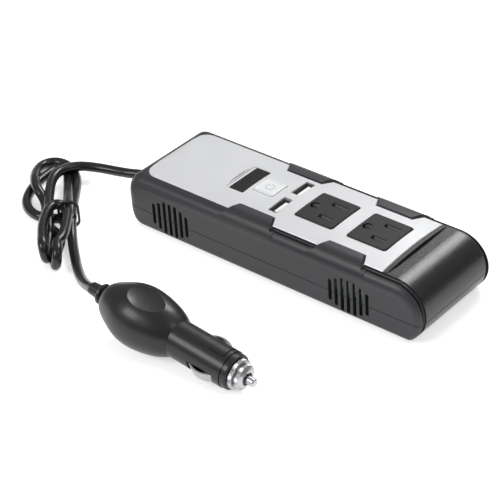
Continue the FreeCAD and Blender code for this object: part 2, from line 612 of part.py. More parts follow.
def transformer_core():
    """E-core: outer frame with a middle leg."""
    cx, cy, sx, sy, sz = TRANSFORMER
    z0 = BOARD_Z + BOARD_T
    core = box(cx - sx / 2, cx + sx / 2, cy - sy / 2, cy + sy / 2, z0, z0 + sz)
    window = box(cx - sx / 2 - 1, cx + sx / 2 + 1, cy - sy / 2 + 3.5, cy - 3.5, z0 + 3.5, z0 + sz - 3.5)
    return core.cut(window).cut(mirror_y(window))


def transformer_winding():
    """Wound bobbin round the middle leg, bulging out of the core's windows."""
    cx, cy, sx, sy, sz = TRANSFORMER
    z0 = BOARD_Z + BOARD_T + 3.6
    z1 = BOARD_Z + BOARD_T + sz - 3.6
    ring = rounded_prism(cx, cy, (sx + 5, sy - 7.2), z0, z1, 3.0)
    leg = box(cx - sx / 2, cx + sx / 2, cy - 3.5, cy + 3.5, z0 - 1, z1 + 1)
    return ring.cut(leg)


def choke_coil():
    """Wound ring lying on the main board."""
    z0 = BOARD_Z + BOARD_T
    ring = Part.makeTorus(6.8, 3.6, Vec(-38.0, 0, z0 + 3.6), Vec(0, 0, 1))
    return ring


def capacitors():
    """Electrolytic cans lying on the main board."""
    z = BOARD_Z + BOARD_T + 4.6
    return Part.makeCompound([rod_x(-24.0, -6.0, y, z, 4.5) for y in (-12, 0, 12)])


def heat_sinks():
    """Two finned aluminium bars along the sides."""
    bars = []
    z0 = BOARD_Z + BOARD_T
    for sy in (-1, 1):
        y = sy * 23.0
        web = box(5.0, 59.0, y - 1.2, y + 1.2, z0, z0 + 10)
        fins = [box(6.0 + 6 * k, 7.2 + 6 * k, min(y, y + sy * 3.2), max(y, y + sy * 3.2), z0 + 0.5, z0 + 10)
                for k in range(9)]
        bars.append(join([web] + fins))
    return Part.makeCompound(bars)


def power_transistors():
    """Switching transistors clamped to the heat sinks."""
    z0 = BOARD_Z + BOARD_T
    parts = []
    for sy in (-1, 1):
        y0, y1 = sorted((sy * 21.8, sy * 17.6))
        parts += [box(x, x + 10, y0, y1, z0, z0 + 9.2) for x in (8.0, 26.0, 44.0)]
    return Part.makeCompound(parts)


def fan_frame():
    """Square fan housing with four struts and a hub seat."""
    x0, x1 = FAN_X
    half = FAN_SIZE / 2
    block = box(x0, x1, -half, half, FAN_Z - half, FAN_Z + half)
    corners = [e for e in block.Edges if abs(e.tangentAt(e.FirstParameter).x) > 0.9]
    block = block.makeFillet(2.0, corners)
    bore = rod_x(x0 - 1, x1 + 1, 0, FAN_Z, FAN_BORE_R)
    holes = [rod_x(x0 - 1, x1 + 1, sy * 10.3, FAN_Z + sz * 10.3, 1.1) for sy in (-1, 1) for sz in (-1, 1)]
    frame = block.cut(bore).cut(join(holes))
    seat = rod_x(x1 - 1.0, x1, 0, FAN_Z, 5.0)
    struts = [box(x1 - 1.0, x1, -FAN_BORE_R - 0.2, FAN_BORE_R + 0.2, FAN_Z - 0.7, FAN_Z + 0.7),
              box(x1 - 1.0, x1, -0.7, 0.7, FAN_Z - FAN_BORE_R - 0.2, FAN_Z + FAN_BORE_R + 0.2)]
    pin = rod_x(x0 + 2.0, x1, 0, FAN_Z, 0.9)
    return join([frame, seat, pin] + struts)


def fan_rotor():
    """Hub with seven raked blades, running on the frame's pin."""
    x0, x1 = FAN_X[0] + 0.8, FAN_X[1] - 1.5
    hub = rod_x(x0, x1, 0, FAN_Z, 5.2)
    blade = Part.makeBox(x1 - x0 - 0.6, 0.9, 10.9 - 4.6, Vec(-(x1 - x0 - 0.6) / 2, -0.45, 4.6))
    blade.rotate(Vec(0, 0, 0), Vec(0, 0, 1), 32)
    pieces = [hub]
    for number in range(7):
        piece = blade.copy()
        piece.rotate(Vec(0, 0, 0), Vec(1, 0, 0), number * 360 / 7)
        piece.translate(Vec((x0 + x1) / 2, 0, FAN_Z))
        pieces.append(piece)
    rotor = join(pieces).common(rod_x(x0, x1, 0, FAN_Z, FAN_BORE_R - 0.6))
    return rotor.cut(rod_x(FAN_X[0] + 1.6, FAN_X[1], 0, FAN_Z, 0.95))


# ---------------------------------------------------------------- fasteners, feet, gland
def pan_screw(x, y, z_head, head_r, head_h, shank_r, length):
    """Screw driven upwards, with a cross recess in its head."""
    head = rod(x, y, z_head, z_head + head_h, head_r)
    shank = rod(x, y, z_head + head_h - 0.1, z_head + head_h + length, shank_r)
    arm = head_r * 0.55
    recess = box(x - arm, x + arm, y - 0.3, y + 0.3, z_head - 1, z_head + head_h * 0.6)
    cross = box(x - 0.3, x + 0.3, y - arm, y + arm, z_head - 1, z_head + head_h * 0.6)
    return head.fuse(shank).cut(recess).cut(cross)


def case_screws():
    """Screws that hold the two shells together, from below."""
    return Part.makeCompound([pan_screw(x, y, FOOT_PROUD + 0.8, 2.8, 1.8, 1.35, 17.0) for x, y in CASE_SCREWS])


def board_screws():
    """Screws of the control board, from below."""
    return Part.makeCompound([pan_screw(x, y, CONTROL_Z - 1.3, 2.1, 1.3, 0.95, 6.0) for x, y in CONTROL_POSTS])


def main_board_screws():
    """Screws of the main board, from above."""
    screws = []
    for x, y in BOARD_POSTS:
        top = BOARD_Z + BOARD_T
        screws.append(rod(x, y, top, top + 1.4, 2.2).fuse(rod(x, y, BOARD_Z - 2.6, top + 0.1, 1.0)))
    return Part.makeCompound(screws)


def rubber_feet():
    """Four feet let into the underside."""
    feet = []
    for x, y in FOOT_SPOTS:
        foot = rod(x, y, 0, 2 * FOOT_PROUD, FOOT_R)
        feet.append(foot.makeFillet(0.4, [e for e in foot.Edges if e.BoundBox.ZMax < 1e-6]))
    return Part.makeCompound(feet)


def revolve_x(points):
    """Solid of revolution about X through a list of (x, radius) corners."""
    loop = [Vec(x, 0, r) for x, r in points]
    return Part.Face(Part.makePolygon(loop + loop[:1])).revolve(Vec(0, 0, 0), Vec(1, 0, 0), 360)


def cord_gland(form, cavity):
    """Ribbed, tapered strain relief pressed into the lower shell."""
    inner, outer = LEFT + WALL + 1.6, GLAND_END_X
    corners = [(inner, 4.8), (LEFT + WALL, 4.8), (LEFT + WALL, GLAND_NECK_R), (LEFT + 0.5, GLAND_NECK_R),
               (LEFT + 0.5, 4.2), (LEFT - 1.9, 4.2)]
    ribs = 3
    for number in range(ribs):
        x = LEFT - 1.9 - number * 3.0
        r = 4.4 - 0.2 * number
        corners += [(x, r - 0.6), (x - 1.0, r - 0.6), (x - 1.0, r), (x - 3.0, r - 0.2)]
    corners += [(outer, 3.4), (outer, CORD_R), (inner, CORD_R)]
    gland = revolve_x(corners)
    gland.translate(Vec(0, 0, GLAND_Z))
    neck = rod_x(LEFT - 1, inner + 1, 0, GLAND_Z, GLAND_NECK_R)
    fitted = gland.cut(form.cut(cavity).cut(neck))
    return max(fitted.Solids, key=lambda part: part.Volume)


# ---------------------------------------------------------------- cord
def route_wire(points):
    """Straight runs joined by tangent arcs; also gives the arcs' radii and the path's length."""
    nodes = [Vec(*p) for p in points]
    edges, radii = [], []
    start = nodes[0]
    for before, corner, after in zip(nodes, nodes[1:], nodes[2:]):
        d0, d1 = (corner - before), (after - corner)
        shorter = min(d0.Length, d1.Length)
        half_turn = d0.getAngle(d1) / 2
        d0.normalize()
        d1.normalize()
        back = 0.45 * shorter
        radii.append(back / math.tan(half_turn))
        a, b = corner - d0 * back, corner + d1 * back
        bisector = (d1 - d0)
        bisector.normalize()
        middle = corner + bisector * (radii[-1] * (1 / math.cos(half_turn) - 1))
        edges.append(Part.LineSegment(start, a).toShape())
        edges.append(Part.Arc(a, middle, b).toShape())
        start = b
    edges.append(Part.LineSegment(start, nodes[-1]).toShape())
    return Part.Wire(edges), radii


def cord_tube(name, points):
    """Round tube along a route."""
    path, radii = route_wire(points)
    first = path.Edges[0]
    direction = first.tangentAt(first.FirstParameter)
    circle = Part.Wire([Part.Circle(Vec(*points[0]), direction, CORD_R).toShape()])
    tube = path.makePipeShell([circle], True, False)
    expected = math.pi * CORD_R ** 2 * path.Length
    print("%s length %.1f, radii %s" % (name, path.Length, [round(r, 1) for r in radii]))
    print("%s volume %.1f against section times length %.1f" % (name, tube.Volume, expected))
    return tube


def hank_lobe(u0, u1, v_mid, half_v, z0, z1):
    """Flat lobe with round ends along the hank's own axis."""
    a, b = u0 + half_v, u1 - half_v
    lobe = join([box(a, b, v_mid - half_v, v_mid + half_v, z0, z1),
                 rod(a, v_mid, z0, z1, half_v), rod(b, v_mid, z0, z1, half_v)])
    return lobe.removeSplitter()


def tie_block(inset):
    """Block with rounded long edges, as wide and high as the tie, drawn in by inset."""
    grow = 1.0 if inset else 0.0
    block = box(TIE_U[0] - grow, TIE_U[1] + grow, TIE_V[0] + inset, TIE_V[1] - inset, TIE_Z[0] + inset,
                TIE_Z[1] - inset)
    along = [e for e in block.Edges if abs(e.tangentAt(e.FirstParameter).x) > 0.9]
    return block.makeFillet(4.5 - inset, along)


def tie_band():
    """Closed band of the tie, in the hank's own frame."""
    return tie_block(0.0).cut(tie_block(TIE_T))


def lay_hank(shape):
    """Move a piece from the hank's own frame to where the hank lies."""
    placed = shape.copy()
    placed.rotate(Vec(0, 0, 0), Vec(0, 0, 1), HANK_TURN)
    placed.translate(Vec(*HANK_C, 0))
    return placed


def cord_tie():
    """Thin tie round the hank's waist; it stands off the cord on one side."""
    return lay_hank(tie_band())


def cord_hank():
    """Outer form of the folded and wrapped middle of the cord: two lobes and a waist."""
    hank = join([hank_lobe(-63.5, 3.0, -1.0, 17.5, 0.2, 10.5), hank_lobe(-14.0, 57.5, 0.6, 7.4, 0.2, 14.0),
                 box(-9.0, 11.0, -10.0, 13.3, 0.2, 16.4)]).removeSplitter()
    return lay_hank(max(hank.cut(tie_band()).Solids, key=lambda solid: solid.Volume))


# ---------------------------------------------------------------- vehicle plug, modelled along its own X
def lay_plug(shape):
    """Move a piece from the plug's own frame to where the plug lies."""
    tilt = math.radians(PLUG_TILT)
    bulb_s, bulb_r = BULB_PROFILE[3]
    height = bulb_s * math.sin(tilt) + (bulb_r + 0.15) * math.cos(tilt)
    placed = shape.copy()
    placed.rotate(Vec(0, 0, 0), Vec(1, 0, 0), PLUG_ROLL)
    placed.rotate(Vec(0, 0, 0), Vec(0, 1, 0), PLUG_TILT)
    placed.translate(Vec(*PLUG_ORIGIN, height))
    matrix = placed.Placement.toMatrix()
    placed.Placement = FreeCAD.Placement()
    return placed.transformed(matrix, True)


def bulb_form(inset):
    """Egg-shaped body of the plug, drawn in by inset."""
    curve = Part.BSplineCurve()
    start = (BULB_START[0] + inset, BULB_START[1] - inset)
    points = [start] + [(s, r - inset) for s, r in BULB_PROFILE]
    curve.interpolate([Vec(s, 0, r) for s, r in points])
    end = points[-1]
    edges = [curve.toShape(), line((end[0], 0, end[1]), (end[0], 0, 0)),
             line((end[0], 0, 0), (start[0], 0, 0)),
             line((start[0], 0, 0), (start[0], 0, start[1]))]
    return Part.Face(Part.Wire(edges)).revolve(Vec(0, 0, 0), Vec(1, 0, 0), 360)


def thumb_recess():
    """Ellipsoid that scoops a shallow oval dish out of the top of the bulb."""
    station, turn, height = THUMB_SPOT
    stretch = FreeCAD.Matrix()
    stretch.scale(*[half / 10 for half in THUMB_HALF])
    scoop = Part.makeSphere(10).transformGeometry(stretch)
    scoop.translate(Vec(station, 0, height))
    scoop.rotate(Vec(0, 0, 0), Vec(1, 0, 0), -turn)
    return scoop


def plug_bulb():
    """Upper and lower halves of the bulb."""
    bulb = bulb_form(0)
    bulb = bulb.cut(rod_x(9.0, 60.0, 0, 0, BULB_BORE_R)).cut(rod_x(-1.0, 12.0, 0, 0, 4.4))
    upper = bulb.common(box(-5, 60, -25, 25, 0, 25)).cut(thumb_recess())
    lower = bulb.common(box(-5, 60, -25, 25, -25, 0))
    return upper, lower


def plug_barrel():
    """Nose barrel with side windows for the contacts and a bore for the fuse."""
    spigot = rod_x(46.0, 54.0, 0, 0, BULB_BORE_R)
    barrel = rod_x(53.0, BARREL_END, 0, 0, BARREL_R)
    body = join([spigot, barrel]).cut(rod_x(45.0, NUT_BORE_S, 0, 0, 3.35))
    body = body.cut(rod_x(NUT_BORE_S, RING_END, 0, 0, 5.97))
    s0, s1 = CONTACT_S[0] - 0.4, CONTACT_S[1] + 0.4
    half = CONTACT_W / 2 + 0.3
    for y0, y1 in ((-12, -5.0), (5.0, 12)):
        body = body.cut(box(s0, s1, y0, y1, -half, half))
    mark = BARREL_END - 2.1
    groove = box(mark - 9.4, mark, -0.35, 0.35, BARREL_R - 0.6, BARREL_R + 1)
    band = rod_x(mark - 0.7, mark, 0, 0, BARREL_R + 1).cut(rod_x(mark - 1, mark + 1, 0, 0, BARREL_R - 0.6))
    band = band.common(box(mark - 1, mark + 1, 0, 12, 3.5, 12))
    return body.cut(groove).cut(band)


def plug_front_ring():
    """Front ring of the nose, that the nut screws into."""
    ring = rod_x(BARREL_END, RING_END, 0, 0, RING_R)
    front = [e for e in ring.Edges if e.BoundBox.XMin > RING_END - 1e-6]
    back = [e for e in ring.Edges if e.BoundBox.XMax < BARREL_END + 1e-6]
    ring = ring.makeFillet(0.8, front).makeChamfer(0.3, back)
    return ring.cut(rod_x(BARREL_END - 1, RING_END + 1, 0, 0, 5.97))


def plug_contact(sy):
    """Bowed spring contact at one side of the nose."""
    s0, s1 = CONTACT_S
    foot, peak = BARREL_R - 1.3, BARREL_R + CONTACT_PROUD
    mid = (s0 + s1) / 2
    t = 0.8
    outer, inner = [
        Part.Arc(Vec(s0, sy * (foot - d), 0), Vec(mid, sy * (peak - d), 0),
                 Vec(s1, sy * (foot - d), 0)).toShape()
        for d in (0, t)]
    sides = [line((s, sy * foot, 0), (s, sy * (foot - t), 0)) for s in (s0, s1)]
    strip = Part.Face(Part.Wire(Part.__sortEdges__([outer, inner] + sides)))
    strip.translate(Vec(0, 0, -CONTACT_W / 2))
    return strip.extrude(Vec(0, 0, CONTACT_W))


def plug_nut():
    """Stepped metal nut that closes the nose and lets the fuse out."""
    outline = [(-6.2, NUT_THREAD_R), (0.3, NUT_THREAD_R), (0.3, 7.9), (0.7, 8.3), (2.3, 8.3), (2.7, 7.9),
               (2.7, 5.9), (3.4, 5.9), (3.4, 6.5), (3.8, 6.9), (5.4, 6.9), (5.9, 6.4), (6.9, 4.8),
               (6.9, 3.55), (-6.2, 3.55)]
    return revolve_x([(RING_END + s, r) for s, r in outline])


def plug_tip_bush():
    """Insulating bush inside the nut, that guides the tip."""
    bore = rod_x(BARREL_END, RING_END + 8, 0, 0, TIP_R + 0.06)
    return rod_x(BARREL_END + 1.5, RING_END + 6.5, 0, 0, 3.5).cut(bore)


def plug_tip():
    """Sprung centre contact with its rear flange."""
    pin = rod_x(BARREL_END - 1.5, TIP_END, 0, 0, TIP_R)
    nose = [e for e in pin.Edges if e.BoundBox.XMin > TIP_END - 1e-6]
    pin = pin.makeFillet(1.1, nose)
    return pin.fuse(rod_x(BARREL_END - 1.1, BARREL_END + 1.4, 0, 0, 3.2))


def plug_tip_spring():
    """Coil spring between the fuse and the tip, drawn at its closed length."""
    pitch, height, radius, wire = 0.95, 2.4, 2.3, 0.35
    helix = Part.makeHelix(pitch, height, radius)
    circle = Part.Wire([Part.Circle(Vec(radius, 0, 0), Vec(0, 1, 0), wire).toShape()])
    spring = Part.Wire(helix.Edges).makePipeShell([circle], True, True)
    spring.rotate(Vec(0, 0, 0), Vec(0, 1, 0), 90)
    spring.translate(Vec(FUSE_END + wire + 0.15, 0, 0))
    return spring


def plug_fuse():
    """Cartridge fuse in the nose."""
    rear, cap = FUSE_END - 29.9, 6.4
    caps = [rod_x(rear, rear + cap, 0, 0, 3.2), rod_x(FUSE_END - cap, FUSE_END, 0, 0, 3.2)]
    return join(caps + [rod_x(rear + 6.0, FUSE_END - 6.0, 0, 0, 2.95)])


def plug_collar():
    """Collar and short tapered relief where the cord enters the plug."""
    corners = [(-7.0, 3.5), (-0.6, 4.0), (-0.6, 5.2), (0.2, 5.8), (1.3, 5.8), (2.0, 5.1),
               (2.0, 4.3), (9.0, 4.3),
               (9.0, CORD_R), (-7.0, CORD_R)]
    return revolve_x(corners)


# ---------------------------------------------------------------- build everything
def build_case():
    form, cavity, core = case_form(0), case_form(WALL), case_form(STRIP_T)
    vents = vent_cuts()
    far_strip = armour_strip(form, core)
    near_strip = mirror_y(far_strip)
    export("upper_housing", upper_shell(form, cavity, vents, [far_strip, near_strip]))
    export("lower_housing", lower_shell(form, cavity, vents))
    export("armour_strip_far", far_strip)
    export("armour_strip_near", near_strip)
    export("rubber_feet", rubber_feet())
    export("case_screws", case_screws())
    export("cord_gland", cord_gland(form, cavity))


def build_face():
    export("face_plate", face_plate())
    export("display_window", display_window())
    export("display_module", display_module())
    export("power_button", power_button())
    export("power_switch", power_switch())
    export("switch_plunger", switch_plunger())
    for number, x in enumerate(OUTLET_X, 1):
        export("outlet_insert_%d" % number, outlet_insert(x))
        export("outlet_contacts_%d" % number, outlet_contacts(x))
        export("outlet_carrier_%d" % number, outlet_carrier(x))
    for number, sy in enumerate((-1, 1), 1):
        export("usb_shell_%d" % number, usb_shell(sy))
        export("usb_tongue_%d" % number, usb_tongue(sy))


def build_inside():
    export("control_board", control_board())
    export("board_screws", board_screws())
    export("main_board", main_board())
    export("main_board_screws", main_board_screws())
    export("transformer_core", transformer_core())
    export("transformer_winding", transformer_winding())
    export("choke_coil", choke_coil())
    export("capacitors", capacitors())
    export("heat_sinks", heat_sinks())
    export("power_transistors", power_transistors())
    export("fan_frame", fan_frame())
    export("fan_rotor", fan_rotor())


def build_plug():
    upper, lower = plug_bulb()
    pieces = {
        "plug_bulb_upper": upper, "plug_bulb_lower": lower, "plug_barrel": plug_barrel(),
        "plug_front_ring": plug_front_ring(), "plug_contact_near": plug_contact(-1),
        "plug_contact_far": plug_contact(1), "plug_nut": plug_nut(), "plug_tip_bush": plug_tip_bush(),
        "plug_tip": plug_tip(), "plug_tip_spring": plug_tip_spring(), "plug_fuse": plug_fuse(),
        "plug_collar": plug_collar(),
    }
    for name, shape in pieces.items():
        export(name, lay_plug(shape))


def build_cord():
    export("cord_lead", cord_tube("cord_lead", LEAD_ROUTE))
    export("cord_hank", cord_hank())
    export("cord_tie", cord_tie())
    export("cord_tail", cord_tube("cord_tail", TAIL_ROUTE))


os.makedirs("parts", exist_ok=True)
build_case()
build_face()
build_inside()
build_plug()
build_cord()
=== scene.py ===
"""Looks of the pocket power inverter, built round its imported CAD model. Metres, +X along the case, +Z up."""
import json
import math
import bpy
import bmesh
from mathutils import Matrix, Vector


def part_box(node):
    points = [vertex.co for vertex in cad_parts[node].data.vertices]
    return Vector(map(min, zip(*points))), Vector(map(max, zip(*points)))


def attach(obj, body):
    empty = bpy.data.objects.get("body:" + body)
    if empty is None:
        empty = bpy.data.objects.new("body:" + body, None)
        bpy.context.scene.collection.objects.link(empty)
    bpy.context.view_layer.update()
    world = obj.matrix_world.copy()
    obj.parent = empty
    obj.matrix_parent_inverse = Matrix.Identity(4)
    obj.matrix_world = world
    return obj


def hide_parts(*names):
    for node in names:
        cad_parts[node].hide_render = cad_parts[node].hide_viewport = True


MM = 0.001
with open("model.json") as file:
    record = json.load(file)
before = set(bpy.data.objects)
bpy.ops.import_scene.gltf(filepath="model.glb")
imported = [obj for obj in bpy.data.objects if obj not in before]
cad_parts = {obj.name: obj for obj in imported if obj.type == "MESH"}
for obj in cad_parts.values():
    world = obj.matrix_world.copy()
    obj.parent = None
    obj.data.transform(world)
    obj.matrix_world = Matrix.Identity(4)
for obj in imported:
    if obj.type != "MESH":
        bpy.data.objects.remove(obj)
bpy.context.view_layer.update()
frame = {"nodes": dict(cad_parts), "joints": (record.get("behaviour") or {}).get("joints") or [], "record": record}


# ---------------------------------------------------------------- small helpers
def mm(points):
    """Points given in millimetres, as vectors in metres."""
    return [Vector(p) * MM for p in points]


def mesh_piece(name, bm, material, body="case", smooth=30):
    """Turn a bmesh into a piece that rides on a body; edges sharper than `smooth` degrees stay sharp."""
    mesh = bpy.data.meshes.new(name)
    bm.normal_update()
    bm.to_mesh(mesh)
    bm.free()
    piece = bpy.data.objects.new(name, mesh)
    bpy.context.scene.collection.objects.link(piece)
    mesh.materials.append(material)
    mesh.shade_smooth()
    mesh.set_sharp_from_angle(angle=math.radians(smooth))
    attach(piece, body)
    return piece


def box_span(bm, low, high):
    """Add a box between two corners in millimetres."""
    size = [b - a for a, b in zip(low, high)]
    centre = [(a + b) / 2 for a, b in zip(low, high)]
    matrix = Matrix.Translation(Vector(centre) * MM) @ Matrix.Diagonal((*[s * MM for s in size], 1.0))
    bmesh.ops.create_cube(bm, size=1.0, matrix=matrix)


def skin(bm, rings):
    """Close a row of rings of equal length into a skin with both ends capped."""
    for a, b in zip(rings, rings[1:]):
        for k in range(len(a)):
            following = (k + 1) % len(a)
            bm.faces.new((a[k], a[following], b[following], b[k]))
    bm.faces.new(rings[0][::-1])
    bm.faces.new(rings[-1])


# ---------------------------------------------------------------- materials
CAP_FROM_X = (0.0755, 0.0765)         # the end cap starts here
CAP_HALF_WIDTH = (0.0270, 0.0264)     # and is this wide each way, up to its stepped rim
SHELL_COLOUR = (0.026, 0.027, 0.030)
CAP_COLOUR = (0.012, 0.0125, 0.014, 1.0)
WINDOW_COLOUR = (0.010, 0.010, 0.011)
PATCH_SCALE = 35.0                    # faint patches of tone, per metre
GRAIN_HEIGHT = 0.0002


def principled(name, colour, roughness, metallic=0.0, **sockets):
    """Node material with one Principled shader; sockets sets more of its inputs."""
    material = bpy.data.materials.new(name)
    material.use_nodes = True
    shader = material.node_tree.nodes["Principled BSDF"]
    shader.inputs["Base Color"].default_value = (*colour, 1.0)
    shader.inputs["Roughness"].default_value = roughness
    shader.inputs["Metallic"].default_value = metallic
    for socket, value in sockets.items():
        shader.inputs[socket.replace("_", " ")].default_value = value
    return material, shader


def add_node(material, kind, **settings):
    """New node; each setting goes to the input of that name, or else to the node itself."""
    node = material.node_tree.nodes.new(kind)
    for key, value in settings.items():
        if key in node.inputs:
            node.inputs[key].default_value = value
        else:
            setattr(node, key, value)
    return node


def link(material, source, socket, target, into):
    """Join one node's output to another node's input."""
    material.node_tree.links.new(source.outputs[socket], target.inputs[into])


def finish_surface(material, shader, colour, grain=900.0, depth=0.02, mottle=0.12, rough=0.06, stretch=None):
    """Moulded or plated surface: fine bump, faint patches of tone and of roughness."""
    place = add_node(material, "ShaderNodeTexCoord")
    source, socket = place, "Object"
    if stretch:
        source, socket = add_node(material, "ShaderNodeMapping"), "Vector"
        source.inputs["Scale"].default_value = stretch
        link(material, place, "Object", source, "Vector")
    fine = add_node(material, "ShaderNodeTexNoise", Scale=grain, Detail=3.0, Roughness=0.6)
    broad = add_node(material, "ShaderNodeTexNoise", Scale=PATCH_SCALE, Detail=4.0, Roughness=0.55)
    link(material, source, socket, fine, "Vector")
    link(material, place, "Object", broad, "Vector")
    ramp = add_node(material, "ShaderNodeValToRGB")
    low, high = 1.0 - mottle, 1.0 + mottle
    ramp.color_ramp.elements[0].position = 0.3
    ramp.color_ramp.elements[1].position = 0.7
    ramp.color_ramp.elements[0].color = (*[min(c * low, 1.0) for c in colour], 1.0)
    ramp.color_ramp.elements[1].color = (*[min(c * high, 1.0) for c in colour], 1.0)
    link(material, broad, "Fac", ramp, "Fac")
    link(material, ramp, "Color", shader, "Base Color")
    spread = add_node(material, "ShaderNodeMapRange")
    base = shader.inputs["Roughness"].default_value
    spread.inputs["To Min"].default_value = max(base - rough, 0.02)
    spread.inputs["To Max"].default_value = min(base + rough, 1.0)
    link(material, broad, "Fac", spread, "Value")
    link(material, spread, "Result", shader, "Roughness")
    bump = add_node(material, "ShaderNodeBump", Strength=depth, Distance=GRAIN_HEIGHT)
    link(material, fine, "Fac", bump, "Height")
    link(material, bump, "Normal", shader, "Normal")
    return material


def surface(name, colour, roughness, metallic=0.0, sockets=None, **detail):
    """Principled material with its surface finish."""
    material, shader = principled(name, colour, roughness, metallic, **(sockets or {}))
    return finish_surface(material, shader, colour, **detail)


def blend_in(material, shader, mask, socket, value):
    """Where the mask is 1, a shader input takes another value in place of what is linked to it."""
    before = shader.inputs[socket].links[0].from_socket
    kind = "RGBA" if socket == "Base Color" else "FLOAT"
    mix = add_node(material, "ShaderNodeMix", data_type=kind)
    first, second, result = (6, 7, 2) if kind == "RGBA" else (2, 3, 0)
    material.node_tree.links.new(mask, mix.inputs[0])
    material.node_tree.links.new(before, mix.inputs[first])
    mix.inputs[second].default_value = value
    material.node_tree.links.new(mix.outputs[result], shader.inputs[socket])


def shell_material():
    """Matt grained sides; the rounded end cap between the ledges is smoother and darker."""
    material, shader = principled("shell_plastic", SHELL_COLOUR, 0.46)
    finish_surface(material, shader, SHELL_COLOUR, grain=2600, depth=0.30, mottle=0.07)
    place = add_node(material, "ShaderNodeTexCoord")
    split = add_node(material, "ShaderNodeSeparateXYZ")
    link(material, place, "Object", split, "Vector")
    along = add_node(material, "ShaderNodeMapRange")
    along.inputs["From Min"].default_value, along.inputs["From Max"].default_value = CAP_FROM_X
    link(material, split, "X", along, "Value")
    side = add_node(material, "ShaderNodeMath", operation="ABSOLUTE")
    link(material, split, "Y", side, 0)
    across = add_node(material, "ShaderNodeMapRange")
    across.inputs["From Min"].default_value, across.inputs["From Max"].default_value = CAP_HALF_WIDTH
    link(material, side, "Value", across, "Value")
    mask = add_node(material, "ShaderNodeMath", operation="MULTIPLY")
    link(material, along, "Result", mask, 0)
    link(material, across, "Result", mask, 1)
    blend_in(material, shader, mask.outputs[0], "Base Color", CAP_COLOUR)
    blend_in(material, shader, mask.outputs[0], "Roughness", 0.27)
    return material


def window_material():
    """Smoked window with the display's unlit cells just showing through."""
    material, shader = principled("smoked_window", WINDOW_COLOUR, 0.34, Specular_IOR_Level=0.30)
    finish_surface(material, shader, WINDOW_COLOUR, grain=300, depth=0.01, mottle=0.2, rough=0.03)
    place = add_node(material, "ShaderNodeTexCoord")
    cells = add_node(material, "ShaderNodeTexBrick", offset=0.0)
    for socket, value in (("Scale", 1000.0), ("Brick Width", 2.3), ("Row Height", 3.4), ("Mortar Size", 0.16),
                          ("Mortar Smooth", 0.6)):
        cells.inputs[socket].default_value = value
    cells.inputs["Color1"].default_value = (0.0030, 0.0030, 0.0035, 1.0)
    cells.inputs["Color2"].default_value = (0.0090, 0.0090, 0.0100, 1.0)
    cells.inputs["Mortar"].default_value = (0.032, 0.032, 0.034, 1.0)
    link(material, place, "Object", cells, "Vector")
    link(material, cells, "Color", shader, "Base Color")
    return material


